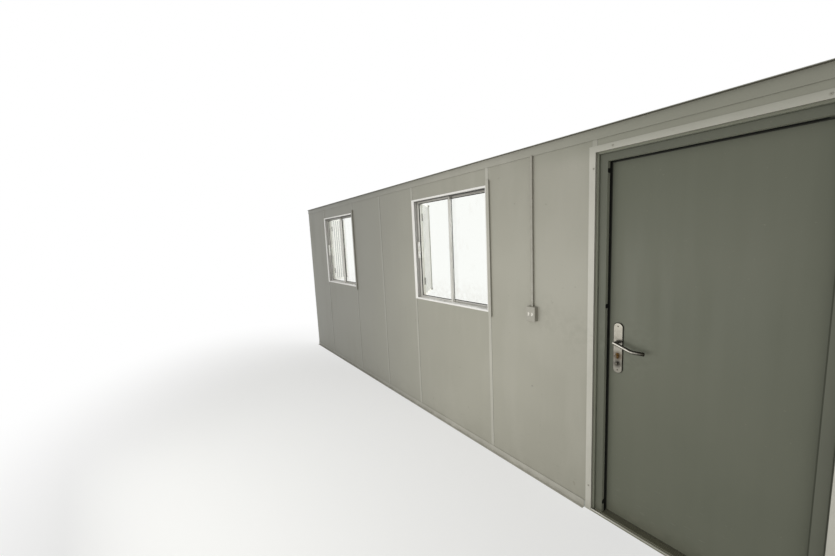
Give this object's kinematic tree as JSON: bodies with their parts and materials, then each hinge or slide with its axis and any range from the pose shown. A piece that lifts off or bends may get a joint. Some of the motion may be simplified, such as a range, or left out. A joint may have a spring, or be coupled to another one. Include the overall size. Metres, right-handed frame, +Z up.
{
  "type": "portable site cabin side wall with door and windows",
  "caption": "Long side wall of a portable site cabin: insulated steel-faced panels, outward-opening steel door with lever handles, sliding windows with outside shutters, light switch.",
  "frame": {"origin": "middle of the underside of the bottom channel, halfway through the wall's thickness", "axes": "+X along the wall towards the door's end, +Y from the room to the open air, +Z up"},
  "size_m": [5.8, 0.4829, 2.24],
  "materials": {
    "wall_coating": "plastic-coated steel sheet, satin off-white",
    "trim_white": "white coated steel",
    "galvanised_steel": "galvanised and primed steel",
    "door_paint": "satin grey-green paint on steel",
    "black_rubber": "moulded rubber",
    "black_plastic": "moulded cap",
    "zinc_steel": "zinc plated",
    "mill_aluminium": "worn extrusion",
    "brass": "satin brass",
    "satin_steel": "satin stainless steel",
    "window_aluminium": "white polyester coated aluminium",
    "glass": "clear float glass",
    "white_plastic": "moulded white plastic",
    "shutter_paint": "white painted steel sheet"
  },
  "bodies": {
    "wall": {"bottom_channel": "galvanised_steel", "top_channel": "galvanised_steel", "end_channels": "wall_coating", "panel_joiners": "trim_white", "skirting": "trim_white", "cornice": "trim_white", "panel_far_end": "wall_coating", "panel_between_windows_far": "wall_coating", "panel_between_windows_near": "wall_coating", "panel_beside_door": "wall_coating", "panel_over_door": "wall_coating", "panel_near_end": "wall_coating", "panels_under_windows": "wall_coating", "panels_over_windows": "wall_coating", "door_jamb_lock_side": "door_paint", "door_jamb_hinge_side": "door_paint", "door_head": "door_paint", "door_seal": "black_rubber", "door_trims": "trim_white", "frame_plugs": "black_plastic", "strike_plate": "zinc_steel", "threshold": "mill_aluminium", "hinge_frame_halves": "zinc_steel", "window_frames": "window_aluminium", "sliding_sashes": "window_aluminium", "fixed_sashes": "window_aluminium", "window_glass": "glass", "window_trims": "trim_white", "window_side_strips": "trim_white", "window_catches": "white_plastic", "shutters": "shutter_paint", "shutter_bolts": "zinc_steel", "shutter_hinges": "zinc_steel", "trunking": "white_plastic", "switch_back_box": "white_plastic", "switch_cover": "white_plastic", "switch_rockers": "white_plastic"},
    "door": {"door_leaf": "door_paint", "hinge_leaf_halves": "zinc_steel", "lock_case": "zinc_steel", "lock_cylinder": "brass", "handle_plates": "satin_steel", "snib": "satin_steel"},
    "lever": {"lever_inside": "satin_steel", "lever_outside": "satin_steel"}
  },
  "joints": [
    {"name": "door_swing", "type": "hinge", "parent": "wall", "child": "door", "pos_m": [2.514, 0.059, 0], "axis": [0, 0, -1], "range_deg": [0, 160]},
    {"name": "lever_turn", "type": "hinge", "parent": "door", "child": "lever", "pos_m": [1.756, 0, 1.07], "axis": [0, 1, 0], "range_deg": [0, 40], "stiffness_Nm_per_rad": 1.5, "springref_deg": -34.38}
  ]
}
